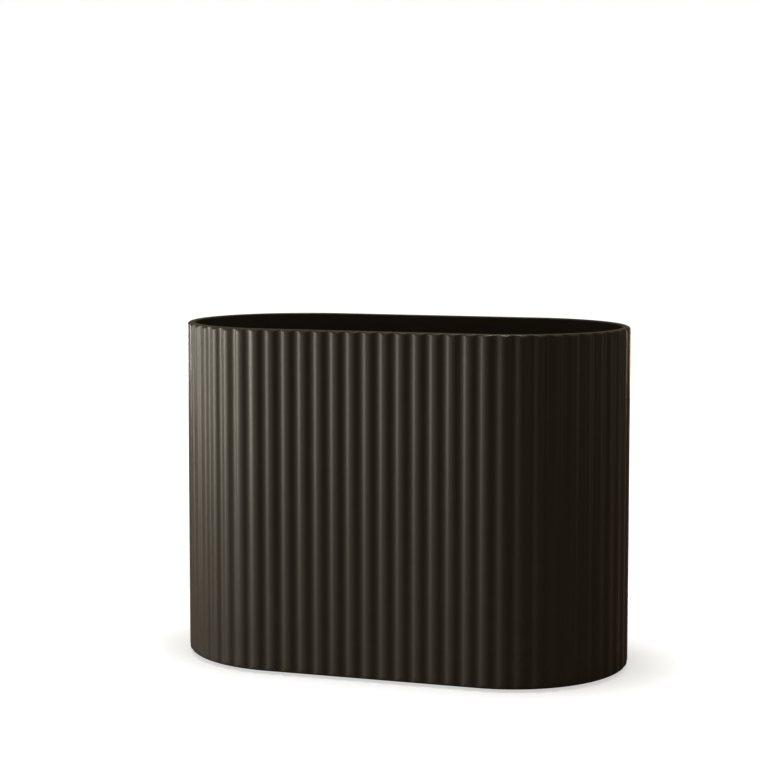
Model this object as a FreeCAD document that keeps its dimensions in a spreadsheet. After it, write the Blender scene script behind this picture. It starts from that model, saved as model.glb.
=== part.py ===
"""Fluted utensil organizer: a shell on a drip tray, with a lift-out drain basket and two dividers.

The plan is a stadium: two straight sides joined by half-round ends. The origin is on the table under
the middle of the organizer, +X runs along its length, -Y is its front and +Z is up. Lengths are in
millimetres. Each piece is modelled from its own underside and placed at its seat.
"""

import FreeCAD
import Part
import Sketcher

import enum
import math
import os

# Driving dimensions, kept in the document's sheet under these names
SIZES = {
    # Plan and height
    "straight_length": 114.0,
    "end_radius": 63.5,
    "overall_height": 180.0,
    # Outer shell: the radius is taken at the crests of the flutes
    "shell_wall": 3.2,
    "flute_pitch": 8.85,
    "flute_depth": 1.0,
    "flute_crest_radius": 5.8,
    "rim_round": 2.0,
    "rim_inner_round": 0.8,
    "base_round": 2.8,
    "base_inner_round": 0.5,
    "crest_margin": 0.2,
    "seat_width": 2.5,
    "seat_thickness": 2.6,
    # Drip tray, which plugs into the shell from below
    "tray_clearance": 0.4,
    "tray_height": 14.0,
    "tray_wall": 1.8,
    "tray_floor": 2.4,
    "tray_base_round": 1.0,
    "tray_inner_round": 2.0,
    "tray_rim_round": 0.6,
    "tray_rib_width": 1.6,
    "tray_rib_height": 1.4,
    "tray_rib_spacing": 28.0,
    # Foot pads, set into recesses under the tray
    "foot_gap": 1.2,
    "foot_inset": 0.8,
    "foot_radius": 8.0,
    "foot_clearance": 0.1,
    "foot_round": 0.5,
    "foot_spacing_long": 128.0,
    "foot_spacing_wide": 66.0,
    "grip_ring_radius": 4.6,
    "grip_ring_width": 1.2,
    "grip_ring_depth": 0.5,
    # Drain basket, which stands on the shell's seat
    "basket_clearance": 0.6,
    "basket_drop": 16.0,
    "basket_wall": 1.8,
    "basket_floor": 2.0,
    "basket_base_round": 0.8,
    "basket_inner_round": 1.5,
    "basket_rim_round": 0.7,
    "drain_hole_radius": 3.0,
    "drain_pitch": 14.0,
    "drain_margin": 4.0,
    "lift_slot_width": 34.0,
    "lift_slot_height": 13.0,
    "lift_slot_drop": 16.0,
    # Dividers and the guides in the basket that hold them upright
    "divider_offset": 42.0,
    "divider_thickness": 2.2,
    "divider_clearance": 0.3,
    "divider_drop": 5.0,
    "divider_top_corner": 9.0,
    "divider_rim_round": 0.8,
    "guide_depth": 3.4,
    "guide_width": 1.6,
    "guide_drop": 8.0,
    "finger_slot_width": 38.0,
    "finger_slot_height": 14.0,
    "finger_slot_drop": 18.0,
    # How far a cut runs past the face that it opens
    "cut_overrun": 2.0,
}

# Sizes that several pieces share, as expressions over the sheet
HALF_STRAIGHT = "sizes.straight_length / 2"
SHELL_HEIGHT = "(sizes.overall_height - sizes.foot_gap)"
INNER_RADIUS = "(sizes.end_radius - sizes.flute_depth - sizes.shell_wall)"
SEAT_TOP = "(sizes.tray_height + sizes.seat_thickness)"
TRAY_RADIUS = f"({INNER_RADIUS} - sizes.tray_clearance)"
TRAY_INNER_RADIUS = f"({TRAY_RADIUS} - sizes.tray_wall)"
BASKET_RADIUS = f"({INNER_RADIUS} - sizes.basket_clearance)"
BASKET_INNER_RADIUS = f"({BASKET_RADIUS} - sizes.basket_wall)"
BASKET_HEIGHT = f"({SHELL_HEIGHT} - {SEAT_TOP} - sizes.basket_drop)"
DIVIDER_HEIGHT = f"({BASKET_HEIGHT} - sizes.basket_floor - sizes.divider_drop)"
DIVIDER_HALF_WIDTH = f"({BASKET_INNER_RADIUS} - sizes.divider_clearance)"

# The corners of a rectangle around the middle, as signs along the length and the width
CORNER_SIGNS = {
    "front_left": (-1, -1),
    "front_right": (1, -1),
    "rear_left": (-1, 1),
    "rear_right": (1, 1),
}


class Vertex(enum.IntEnum):
    """Vertices of sketch geometry: the two ends of a line or arc, and a centre."""

    START = enum.auto()
    END = enum.auto()
    CENTRE = enum.auto()


# Number by which a sketch knows its own horizontal axis, whose first vertex is the sketch's origin
SKETCH_X_AXIS = -1


def add_sheet(doc):
    """Put the driving dimensions in a sheet, one row each, with the name as the alias of its value."""
    sheet = doc.addObject("Spreadsheet::Sheet", "sizes")
    for row, (alias, value) in enumerate(SIZES.items(), start=1):
        sheet.set(f"A{row}", alias)
        sheet.set(f"B{row}", str(value))
        sheet.setAlias(f"B{row}", alias)
    doc.recompute()
    return sheet


def bind(target, **expressions):
    """Bind properties to expressions; two underscores in a name stand for the dot of a sub-property."""
    for name, expression in expressions.items():
        target.setExpression(name.replace("__", "."), expression)


def value_of(sheet, expression):
    """Work out an expression over the sheet as a plain number."""
    return float(sheet.evalExpression(expression))


def add_body(doc, name):
    """Start a piece: its name is its label and later the name of its file."""
    body = doc.addObject("PartDesign::Body", name)
    body.Label = name
    return body


def add_sketch(body, name, plane="XY_Plane", level=None, rise=None):
    """Start a sketch on one of the body's own planes.

    level moves it along the plane's normal, and rise moves it along its own vertical axis.
    """
    sketch = body.newObject("Sketcher::SketchObject", name)
    support = next(item for item in body.Origin.OriginFeatures if item.Role == plane)
    sketch.AttachmentSupport = (support, "")
    sketch.MapMode = "FlatFace"
    if level:
        bind(sketch, AttachmentOffset__Base__z=level)
    if rise:
        bind(sketch, AttachmentOffset__Base__y=rise)
    return sketch


def name_constraint(sketch, constraint, name, expression):
    """Add a size constraint, name it and bind it to the sheet."""
    index = sketch.addConstraint(constraint)
    sketch.renameConstraint(index, name)
    sketch.setExpression(f"Constraints.{name}", expression)


def stadium_sketch(body, sheet, name, half_straight, radius, **place):
    """Outline of two straight sides and two half-round ends around the sketch's origin."""
    sketch = add_sketch(body, name, **place)
    half = value_of(sheet, half_straight)
    reach = value_of(sheet, radius)
    up = FreeCAD.Vector(0, 0, 1)
    right_end = FreeCAD.Vector(half, 0, 0)
    left_end = FreeCAD.Vector(-half, 0, 0)
    drop = FreeCAD.Vector(0, reach, 0)
    quarter = math.pi / 2
    low_side, right, high_side, left = sketch.addGeometry(
        [
            Part.LineSegment(left_end - drop, right_end - drop),
            Part.ArcOfCircle(Part.Circle(right_end, up, reach), -quarter, quarter),
            Part.LineSegment(right_end + drop, left_end + drop),
            Part.ArcOfCircle(Part.Circle(left_end, up, reach), quarter, 3 * quarter),
        ]
    )
    loop = [low_side, right, high_side, left]
    for current, following in zip(loop, loop[1:] + loop[:1]):
        sketch.addConstraint(Sketcher.Constraint("Tangent", current, Vertex.END, following, Vertex.START))
    for side in (low_side, high_side):
        sketch.addConstraint(Sketcher.Constraint("Horizontal", side))
    sketch.addConstraint(Sketcher.Constraint("PointOnObject", right, Vertex.CENTRE, SKETCH_X_AXIS))
    origin = (SKETCH_X_AXIS, Vertex.START)
    to_right = Sketcher.Constraint("DistanceX", *origin, right, Vertex.CENTRE, half)
    to_left = Sketcher.Constraint("DistanceX", left, Vertex.CENTRE, *origin, half)
    name_constraint(sketch, to_right, "right_half", half_straight)
    name_constraint(sketch, to_left, "left_half", half_straight)
    name_constraint(sketch, Sketcher.Constraint("Radius", right, reach), "radius", radius)
    return sketch


def add_rectangle(sketch, sheet, name, x_low, x_high, y_low, y_high):
    """Draw a rectangle between four bound distances from the sketch's origin."""
    left, right, low, high = (value_of(sheet, bound) for bound in (x_low, x_high, y_low, y_high))
    corners = [
        FreeCAD.Vector(left, low, 0),
        FreeCAD.Vector(right, low, 0),
        FreeCAD.Vector(right, high, 0),
        FreeCAD.Vector(left, high, 0),
    ]
    sides = sketch.addGeometry(
        [Part.LineSegment(a, b) for a, b in zip(corners, corners[1:] + corners[:1])]
    )
    for current, following in zip(sides, sides[1:] + sides[:1]):
        sketch.addConstraint(Sketcher.Constraint("Coincident", current, Vertex.END, following, Vertex.START))
    bottom, right_side, top, left_side = sides
    for side in (bottom, top):
        sketch.addConstraint(Sketcher.Constraint("Horizontal", side))
    for side in (right_side, left_side):
        sketch.addConstraint(Sketcher.Constraint("Vertical", side))
    bounds = [
        ("DistanceX", bottom, left, x_low, "left"),
        ("DistanceX", right_side, right, x_high, "right"),
        ("DistanceY", bottom, low, y_low, "low"),
        ("DistanceY", top, high, y_high, "high"),
    ]
    for kind, side, value, expression, word in bounds:
        constraint = Sketcher.Constraint(kind, SKETCH_X_AXIS, Vertex.START, side, Vertex.START, value)
        name_constraint(sketch, constraint, f"{name}_{word}", expression)


def add_circle(sketch, sheet, name, x_centre, y_centre, radius):
    """Draw a circle with a bound centre and radius."""
    x, y, reach = (value_of(sheet, bound) for bound in (x_centre, y_centre, radius))
    up = FreeCAD.Vector(0, 0, 1)
    circle = sketch.addGeometry(Part.Circle(FreeCAD.Vector(x, y, 0), up, reach))
    ends = (SKETCH_X_AXIS, Vertex.START, circle, Vertex.CENTRE)
    across = Sketcher.Constraint("DistanceX", *ends, x)
    along = Sketcher.Constraint("DistanceY", *ends, y)
    name_constraint(sketch, across, f"{name}_x", x_centre)
    name_constraint(sketch, along, f"{name}_y", y_centre)
    name_constraint(sketch, Sketcher.Constraint("Radius", circle, reach), f"{name}_radius", radius)


def add_pad(body, name, sketch, length):
    """Raise a sketch into a solid along the sketch's normal."""
    pad = body.newObject("PartDesign::Pad", name)
    pad.Profile = sketch
    bind(pad, Length=length)
    body.Document.recompute()
    return pad


def add_pocket(body, name, sketch, length, upwards=False):
    """Cut a sketch into the solid, downwards from the sketch unless told otherwise."""
    before = body.Shape.Volume
    pocket = body.newObject("PartDesign::Pocket", name)
    pocket.Profile = sketch
    pocket.Reversed = upwards
    bind(pocket, Length=length)
    body.Document.recompute()
    if not body.Shape.Volume < before:
        raise RuntimeError(f"{name} cuts nothing out of {body.Label}")
    return pocket


def add_through_cut(body, name, sketch):
    """Cut a sketch right through the solid, to both sides of the sketch."""
    before = body.Shape.Volume
    pocket = body.newObject("PartDesign::Pocket", name)
    pocket.Profile = sketch
    pocket.Type = "ThroughAll"
    pocket.SideType = "Symmetric"
    body.Document.recompute()
    if not body.Shape.Volume < before:
        raise RuntimeError(f"{name} cuts nothing out of {body.Label}")
    return pocket


def add_fillet(body, name, edges, radius):
    """Round the named edges of the body's last feature."""
    base = body.Tip
    fillet = body.newObject("PartDesign::Fillet", name)
    fillet.Base = (base, edges)
    bind(fillet, Radius=radius)
    body.Document.recompute()
    return fillet


def edges_where(feature, test):
    """Names of the feature's edges whose ends and middle all pass a test on a point."""
    names = []
    for number, edge in enumerate(feature.Shape.Edges, start=1):
        middle = edge.valueAt((edge.FirstParameter + edge.LastParameter) / 2)
        points = [vertex.Point for vertex in edge.Vertexes] + [middle]
        if all(test(point) for point in points):
            names.append(f"Edge{number}")
    return names


def stadium_reach(sheet, point):
    """Distance of a point from the line between the centres of the two ends, in plan."""
    half = value_of(sheet, HALF_STRAIGHT)
    past_end = max(abs(point.x) - half, 0)
    return math.hypot(past_end, point.y)


def outline_edges(sheet, feature, radius, level):
    """Names of the edges that follow the stadium of a given radius at a given level."""
    reach = value_of(sheet, radius)
    height = value_of(sheet, level)
    near = Part.Precision.approximation()

    def on_outline(point):
        return abs(point.z - height) < near and abs(stadium_reach(sheet, point) - reach) < near

    return edges_where(feature, on_outline)


def flute_counts(sheet):
    """Whole numbers of flutes along one straight side and round one end."""
    middle_radius = sheet.end_radius - sheet.flute_depth / 2
    on_side = round(sheet.straight_length / sheet.flute_pitch)
    on_end = round(math.pi * middle_radius / sheet.flute_pitch)
    return on_side, on_end


def side_flutes(sheet, start, along, outward):
    """Flutes of one straight side, between the valleys at its two ends.

    Each flute is the lowest point of the valley before it, and the first point, the top and the last
    point of its crest. Crests and valleys are arcs that are tangent where they meet.
    """
    count = flute_counts(sheet)[0]
    pitch = sheet.straight_length / count
    half, depth, crest = pitch / 2, sheet.flute_depth, sheet.flute_crest_radius
    both_radii = (half**2 + depth**2) / (2 * depth)
    slope = math.asin(half / both_radii)

    def at(distance, height):
        return start + along * distance + outward * height

    def crest_point(middle, angle):
        return at(middle + crest * math.sin(angle), crest * math.cos(angle) - crest)

    flutes = []
    for number in range(count):
        left = number * pitch
        middle = left + half
        crest_points = (crest_point(middle, angle) for angle in (-slope, 0, slope))
        flutes.append((at(left, -depth), *crest_points))
    return flutes


def end_flutes(sheet, centre, first_angle):
    """Flutes of one half-round end: those of the sides bent round the end's centre."""
    count = flute_counts(sheet)[1]
    step = math.pi / count
    crest, outer = sheet.flute_crest_radius, sheet.end_radius
    inner = outer - sheet.flute_depth
    crest_reach = outer - crest
    lean = crest_reach * math.cos(step / 2)
    valley = (crest**2 - crest_reach**2 - inner**2 + 2 * inner * lean) / (2 * (inner - lean - crest))
    valley_x = (inner + valley) * math.cos(step / 2) - crest_reach
    valley_y = (inner + valley) * math.sin(step / 2)
    slope = math.atan2(valley_y, valley_x)

    def polar(reach, angle):
        return FreeCAD.Vector(reach * math.cos(angle), reach * math.sin(angle), 0)

    def crest_point(middle, angle):
        return centre + polar(crest_reach, middle) + polar(crest, middle + angle)

    flutes = []
    for number in range(count):
        left = first_angle + number * step
        middle = left + step / 2
        crest_points = (crest_point(middle, angle) for angle in (-slope, 0, slope))
        flutes.append((centre + polar(inner, left), *crest_points))
    return flutes


def fluted_face(sheet):
    """Plan of the shell's outside as one face, with valleys and crests as tangent arcs."""
    half, outer = sheet.straight_length / 2, sheet.end_radius
    lengthwise, rearward = FreeCAD.Vector(1, 0, 0), FreeCAD.Vector(0, 1, 0)
    right_end, left_end = lengthwise * half, lengthwise * -half
    flutes = side_flutes(sheet, left_end - rearward * outer, lengthwise, -rearward)
    flutes += end_flutes(sheet, right_end, -math.pi / 2)
    flutes += side_flutes(sheet, right_end + rearward * outer, -lengthwise, rearward)
    flutes += end_flutes(sheet, left_end, math.pi / 2)
    edges = []
    for flute, following in zip(flutes, flutes[1:] + flutes[:1]):
        first, crest_top, last = flute[1:]
        next_lowest, next_first = following[:2]
        edges.append(Part.Arc(first, crest_top, last).toShape())
        edges.append(Part.Arc(last, next_lowest, next_first).toShape())
    return Part.Face(Part.Wire(edges))


def fluted_blank(doc, sheet):
    """Solid outside of the shell: fluted prism trimmed to an envelope with rounded rim and base."""
    section = doc.addObject("Part::Feature", "fluted_section")
    section.Shape = fluted_face(sheet)
    section.Placement = FreeCAD.Placement(FreeCAD.Vector(0, 0, 0), FreeCAD.Rotation())
    prism = doc.addObject("Part::Extrusion", "fluted_prism")
    prism.Base = section
    prism.DirMode = "Custom"
    prism.Dir = FreeCAD.Vector(0, 0, 1)
    prism.Solid = True
    bind(prism, LengthFwd=f"{SHELL_HEIGHT} + sizes.cut_overrun", LengthRev="sizes.cut_overrun")

    envelope = add_body(doc, "shell_envelope")
    radius = "(sizes.end_radius + sizes.crest_margin)"
    outline = stadium_sketch(envelope, sheet, "envelope_outline", HALF_STRAIGHT, radius)
    add_pad(envelope, "envelope_block", outline, SHELL_HEIGHT)
    rim = outline_edges(sheet, envelope.Tip, radius, SHELL_HEIGHT)
    add_fillet(envelope, "envelope_rim_round", rim, "sizes.rim_round + sizes.crest_margin")
    base = outline_edges(sheet, envelope.Tip, radius, "0")
    add_fillet(envelope, "envelope_base_round", base, "sizes.base_round + sizes.crest_margin")

    blank = doc.addObject("Part::Common", "fluted_blank")
    blank.Base = prism
    blank.Tool = envelope
    doc.recompute()
    return blank


def make_shell(doc, sheet):
    """Fluted wall with a well for the basket above a seat ring, and a recess for the tray below it."""
    blank = fluted_blank(doc, sheet)
    shell = add_body(doc, "outer_shell")
    shell.BaseFeature = blank
    doc.recompute()

    well = stadium_sketch(shell, sheet, "well_outline", HALF_STRAIGHT, INNER_RADIUS, level=SHELL_HEIGHT)
    add_pocket(shell, "basket_well", well, f"{SHELL_HEIGHT} - {SEAT_TOP}")
    recess = stadium_sketch(shell, sheet, "recess_outline", HALF_STRAIGHT, INNER_RADIUS)
    add_pocket(shell, "tray_recess", recess, "sizes.tray_height", upwards=True)
    gate_radius = f"{INNER_RADIUS} - sizes.seat_width"
    gate = stadium_sketch(shell, sheet, "gate_outline", HALF_STRAIGHT, gate_radius, level=SEAT_TOP)
    add_pocket(shell, "seat_gate", gate, "sizes.seat_thickness")

    rim = outline_edges(sheet, shell.Tip, INNER_RADIUS, SHELL_HEIGHT)
    add_fillet(shell, "rim_inner_edge", rim, "sizes.rim_inner_round")
    mouth = outline_edges(sheet, shell.Tip, INNER_RADIUS, "0")
    add_fillet(shell, "base_inner_edge", mouth, "sizes.base_inner_round")
    bind(shell, Placement__Base__z="sizes.foot_gap")
    return shell


def foot_centre(signs):
    """Bound centre of a foot pad in plan, from its signs along the length and the width."""
    along, across = signs
    return f"{along} * sizes.foot_spacing_long / 2", f"{across} * sizes.foot_spacing_wide / 2"


def make_tray(doc, sheet):
    """Shallow pan with low cross ribs inside and a recess under it for each foot pad."""
    tray = add_body(doc, "drip_tray")
    outline = stadium_sketch(tray, sheet, "tray_outline", HALF_STRAIGHT, TRAY_RADIUS)
    add_pad(tray, "tray_block", outline, "sizes.tray_height")
    inside = stadium_sketch(
        tray, sheet, "tray_inside", HALF_STRAIGHT, TRAY_INNER_RADIUS, level="sizes.tray_height"
    )
    add_pocket(tray, "tray_hollow", inside, "sizes.tray_height - sizes.tray_floor")

    rounds = [
        ("tray_base_edge", TRAY_RADIUS, "0", "sizes.tray_base_round"),
        ("tray_inner_edge", TRAY_INNER_RADIUS, "sizes.tray_floor", "sizes.tray_inner_round"),
        ("tray_rim_edge", TRAY_INNER_RADIUS, "sizes.tray_height", "sizes.tray_rim_round"),
    ]
    for name, radius, level, size in rounds:
        add_fillet(tray, name, outline_edges(sheet, tray.Tip, radius, level), size)

    ribs = add_sketch(tray, "tray_rib_plan", level="sizes.tray_floor / 2")
    reach = f"({TRAY_INNER_RADIUS} - sizes.tray_inner_round)"
    rib_steps = int(sheet.straight_length / 2 / sheet.tray_rib_spacing)
    for step in range(-rib_steps, rib_steps + 1):
        middle = f"{step} * sizes.tray_rib_spacing"
        low, high = f"{middle} - sizes.tray_rib_width / 2", f"{middle} + sizes.tray_rib_width / 2"
        add_rectangle(ribs, sheet, f"rib{step + rib_steps}", low, high, f"-{reach}", reach)
    add_pad(tray, "tray_ribs", ribs, "sizes.tray_floor / 2 + sizes.tray_rib_height")

    recesses = add_sketch(tray, "foot_recess_plan")
    for corner, signs in CORNER_SIGNS.items():
        x, y = foot_centre(signs)
        add_circle(recesses, sheet, corner, x, y, "sizes.foot_radius + sizes.foot_clearance")
    add_pocket(tray, "foot_recesses", recesses, "sizes.foot_inset", upwards=True)
    bind(tray, Placement__Base__z="sizes.foot_gap")
    return tray


def make_foot(doc, sheet, corner, signs):
    """Round non-slip pad with a grip ring cut into its underside."""
    foot = add_body(doc, f"foot_{corner}")
    plan = add_sketch(foot, f"{corner}_plan")
    add_circle(plan, sheet, "pad", "0", "0", "sizes.foot_radius")
    add_pad(foot, f"{corner}_pad", plan, "sizes.foot_inset + sizes.foot_gap")
    near = Part.Precision.approximation()
    lower = edges_where(foot.Tip, lambda point: abs(point.z) < near)
    add_fillet(foot, f"{corner}_edge", lower, "sizes.foot_round")

    ring = add_sketch(foot, f"{corner}_ring_plan")
    add_circle(ring, sheet, "outer", "0", "0", "sizes.grip_ring_radius")
    add_circle(ring, sheet, "inner", "0", "0", "sizes.grip_ring_radius - sizes.grip_ring_width")
    add_pocket(foot, f"{corner}_grip_ring", ring, "sizes.grip_ring_depth", upwards=True)
    x, y = foot_centre(signs)
    bind(foot, Placement__Base__x=x, Placement__Base__y=y)
    return foot


def drain_centres(sheet):
    """Centres of the drain holes: a square grid inside the floor, clear of the dividers' feet."""
    pitch = sheet.drain_pitch
    half = sheet.straight_length / 2
    limit = value_of(sheet, BASKET_INNER_RADIUS) - sheet.drain_hole_radius - sheet.drain_margin
    foot = sheet.drain_hole_radius + sheet.divider_thickness / 2 + sheet.divider_clearance
    columns = int((half + limit) / pitch)
    rows = int(limit / pitch)
    centres = []
    for column in range(-columns, columns + 1):
        for row in range(-rows, rows + 1):
            point = FreeCAD.Vector(column * pitch, row * pitch, 0)
            under_divider = abs(abs(point.x) - sheet.divider_offset) < foot
            if stadium_reach(sheet, point) < limit and not under_divider:
                centres.append(point)
    return centres


def add_guides(basket, sheet):
    """Raise the pairs of ribs on the basket's long walls that the dividers slide between."""
    plan = add_sketch(basket, "guide_plan", level="sizes.basket_floor / 2")
    gap = "(sizes.divider_thickness / 2 + sizes.divider_clearance)"
    wall_middle = f"({BASKET_INNER_RADIUS} + sizes.basket_wall / 2)"
    inner_face = f"({BASKET_INNER_RADIUS} - sizes.guide_depth)"
    for corner, (along, across) in CORNER_SIGNS.items():
        middle = f"{along} * sizes.divider_offset"
        near, far = sorted((f"{across} * {inner_face}", f"{across} * {wall_middle}"),
                           key=lambda bound: value_of(sheet, bound))
        lower = (f"{middle} - {gap} - sizes.guide_width", f"{middle} - {gap}")
        upper = (f"{middle} + {gap}", f"{middle} + {gap} + sizes.guide_width")
        for word, (left, right) in (("inner", lower), ("outer", upper)):
            add_rectangle(plan, sheet, f"{corner}_{word}", left, right, near, far)
    length = f"{BASKET_HEIGHT} - sizes.basket_floor / 2 - sizes.guide_drop"
    add_pad(basket, "divider_guides", plan, length)


def make_basket(doc, sheet):
    """Liner with a perforated floor, divider guides and a lift slot in each end."""
    basket = add_body(doc, "drain_basket")
    outline = stadium_sketch(basket, sheet, "basket_outline", HALF_STRAIGHT, BASKET_RADIUS)
    add_pad(basket, "basket_block", outline, BASKET_HEIGHT)
    inside = stadium_sketch(
        basket, sheet, "basket_inside", HALF_STRAIGHT, BASKET_INNER_RADIUS, level=BASKET_HEIGHT
    )
    add_pocket(basket, "basket_hollow", inside, f"{BASKET_HEIGHT} - sizes.basket_floor")

    rounds = [
        ("basket_base_edge", BASKET_RADIUS, "0", "sizes.basket_base_round"),
        ("basket_inner_edge", BASKET_INNER_RADIUS, "sizes.basket_floor", "sizes.basket_inner_round"),
        ("basket_rim_outside", BASKET_RADIUS, BASKET_HEIGHT, "sizes.basket_rim_round"),
        ("basket_rim_inside", BASKET_INNER_RADIUS, BASKET_HEIGHT, "sizes.basket_rim_round"),
    ]
    for name, radius, level, size in rounds:
        add_fillet(basket, name, outline_edges(sheet, basket.Tip, radius, level), size)
    add_guides(basket, sheet)

    drains = add_sketch(basket, "drain_plan", level="sizes.basket_floor")
    up = FreeCAD.Vector(0, 0, 1)
    drains.addGeometry([Part.Circle(point, up, sheet.drain_hole_radius) for point in drain_centres(sheet)])
    add_pocket(basket, "drain_holes", drains, "sizes.basket_floor")

    slot = stadium_sketch(
        basket,
        sheet,
        "lift_slot_outline",
        "(sizes.lift_slot_width - sizes.lift_slot_height) / 2",
        "sizes.lift_slot_height / 2",
        plane="YZ_Plane",
        rise=f"{BASKET_HEIGHT} - sizes.lift_slot_drop",
    )
    add_through_cut(basket, "lift_slots", slot)
    bind(basket, Placement__Base__z=f"sizes.foot_gap + {SEAT_TOP}")
    return basket


def make_divider(doc, sheet, side, sign):
    """Upright plate with rounded corners and a finger slot near its top."""
    divider = add_body(doc, f"{side}_divider")
    plan = add_sketch(divider, f"{side}_plan")
    half_thickness = "sizes.divider_thickness / 2"
    faces = (f"-{half_thickness}", half_thickness)
    edges = (f"-{DIVIDER_HALF_WIDTH}", DIVIDER_HALF_WIDTH)
    add_rectangle(plan, sheet, "plate", *faces, *edges)
    add_pad(divider, f"{side}_plate", plan, DIVIDER_HEIGHT)

    near = Part.Precision.approximation()
    half_width = value_of(sheet, DIVIDER_HALF_WIDTH)
    height = value_of(sheet, DIVIDER_HEIGHT)

    def corners_at(level):
        return lambda point: abs(abs(point.y) - half_width) < near and abs(point.z - level) < near

    top_corners = edges_where(divider.Tip, corners_at(height))
    add_fillet(divider, f"{side}_top_corners", top_corners, "sizes.divider_top_corner")
    bottom_corners = edges_where(divider.Tip, corners_at(0))
    corner_radius = "sizes.basket_inner_round + sizes.divider_clearance"
    add_fillet(divider, f"{side}_bottom_corners", bottom_corners, corner_radius)

    slot = stadium_sketch(
        divider,
        sheet,
        f"{side}_slot_outline",
        "(sizes.finger_slot_width - sizes.finger_slot_height) / 2",
        "sizes.finger_slot_height / 2",
        plane="YZ_Plane",
        rise=f"{DIVIDER_HEIGHT} - sizes.finger_slot_drop",
    )
    add_through_cut(divider, f"{side}_finger_slot", slot)

    straight_reach = half_width - sheet.divider_top_corner
    half_plate = sheet.divider_thickness / 2

    def on_top_edge(point):
        on_face = abs(abs(point.x) - half_plate) < near
        return on_face and abs(point.z - height) < near and abs(point.y) < straight_reach + near

    add_fillet(divider, f"{side}_rim", edges_where(divider.Tip, on_top_edge), "sizes.divider_rim_round")
    bind(
        divider,
        Placement__Base__x=f"{sign} * sizes.divider_offset",
        Placement__Base__z=f"sizes.foot_gap + {SEAT_TOP} + sizes.basket_floor",
    )
    return divider


def check_document(doc, pieces):
    """Stop if any object failed or any piece is empty or broken."""
    for item in doc.Objects:
        if {"Invalid", "Error"} & set(item.State):
            raise RuntimeError(f"{item.Label} failed: {item.State}")
    for piece in pieces:
        if piece.Shape.isNull() or not piece.Shape.isValid():
            raise RuntimeError(f"{piece.Label} has no valid shape")
        if len(piece.Shape.Solids) != 1:
            raise RuntimeError(f"{piece.Label} is not one solid")


def main():
    """Build every piece in one document and write each to its own file."""
    doc = FreeCAD.newDocument("utensil_organizer")
    sheet = add_sheet(doc)
    pieces = [make_shell(doc, sheet), make_tray(doc, sheet), make_basket(doc, sheet)]
    pieces += [make_divider(doc, sheet, side, sign) for side, sign in (("left", -1), ("right", 1))]
    pieces += [make_foot(doc, sheet, corner, signs) for corner, signs in CORNER_SIGNS.items()]
    doc.recompute()
    check_document(doc, pieces)
    os.makedirs("parts", exist_ok=True)
    for piece in pieces:
        piece.Shape.exportStep(f"parts/{piece.Label}.step")
        box = piece.Shape.BoundBox
        print(f"{piece.Label}: volume {piece.Shape.Volume:.0f} mm3, z {box.ZMin:.2f} to {box.ZMax:.2f}")


main()
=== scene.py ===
"""Fluted utensil organizer: its dressed pieces, and a plain studio around them.

Lengths are in metres in the frame's own axes: +X along the organizer, -Y to its front and +Z up.
"""

import logging
import math
from collections.abc import Callable, Iterable, Set
from dataclasses import dataclass
from enum import Enum

import bmesh
import bpy
from bmesh.types import BMVert
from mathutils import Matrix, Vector
from mathutils.geometry import delaunay_2d_cdt


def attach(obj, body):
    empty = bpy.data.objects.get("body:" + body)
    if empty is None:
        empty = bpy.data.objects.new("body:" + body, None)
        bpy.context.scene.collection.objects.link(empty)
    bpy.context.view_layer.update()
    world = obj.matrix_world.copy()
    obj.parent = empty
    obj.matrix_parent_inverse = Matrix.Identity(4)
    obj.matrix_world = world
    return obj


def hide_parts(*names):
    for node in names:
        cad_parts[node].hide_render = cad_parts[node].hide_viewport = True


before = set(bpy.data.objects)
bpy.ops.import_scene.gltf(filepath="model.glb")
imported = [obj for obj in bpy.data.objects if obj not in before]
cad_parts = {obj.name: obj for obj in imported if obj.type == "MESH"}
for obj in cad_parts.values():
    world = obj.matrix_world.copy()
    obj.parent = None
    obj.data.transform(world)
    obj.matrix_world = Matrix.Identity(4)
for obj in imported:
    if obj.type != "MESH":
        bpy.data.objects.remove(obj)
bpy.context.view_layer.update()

log = logging.getLogger("organizer")

MM = 0.001
QUARTER = math.pi / 2
SAME_POINT = 0.01 * MM
EDGE_STEPS = 3
DIVIDER_OFFSET = 42.0 * MM
EDGE_ATTRIBUTE = "edge_exposure"
WHITE = (1.0, 1.0, 1.0, 1.0)

Flat = tuple[float, float]
Colour = tuple[float, float, float]

PAD_PLACES: dict[str, Flat] = {
    "front_left": (-0.064, -0.033),
    "front_right": (0.064, -0.033),
    "rear_left": (-0.064, 0.033),
    "rear_right": (0.064, 0.033),
}


class Body(Enum):
    """Moving bodies of the frame that the pieces ride on."""

    BASE = "base"
    SHELL = "shell"
    BASKET = "basket"
    LEFT_DIVIDER = "left_divider"
    RIGHT_DIVIDER = "right_divider"


class Slot(Enum):
    """Names of the material slots."""

    SHELL = "shell_plastic"
    TRAY = "tray_plastic"
    INSERT = "insert_plastic"
    PAD = "pad_rubber"


class Side(Enum):
    """The two ends of the organizer, by their sign along X."""

    LEFT = -1
    RIGHT = 1


def smooth_max(first: float, second: float, softness: float) -> float:
    """Larger of two values, blended where they differ by less than the softness."""
    near = max(softness - abs(first - second), 0.0) / softness
    return max(first, second) + near * near * softness / 4


def spread(low: float, high: float, steps: int) -> list[float]:
    """Evenly spaced values from low to high, with both ends and so many gaps between them."""
    return [low + (high - low) * step / steps for step in range(steps + 1)]


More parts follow.
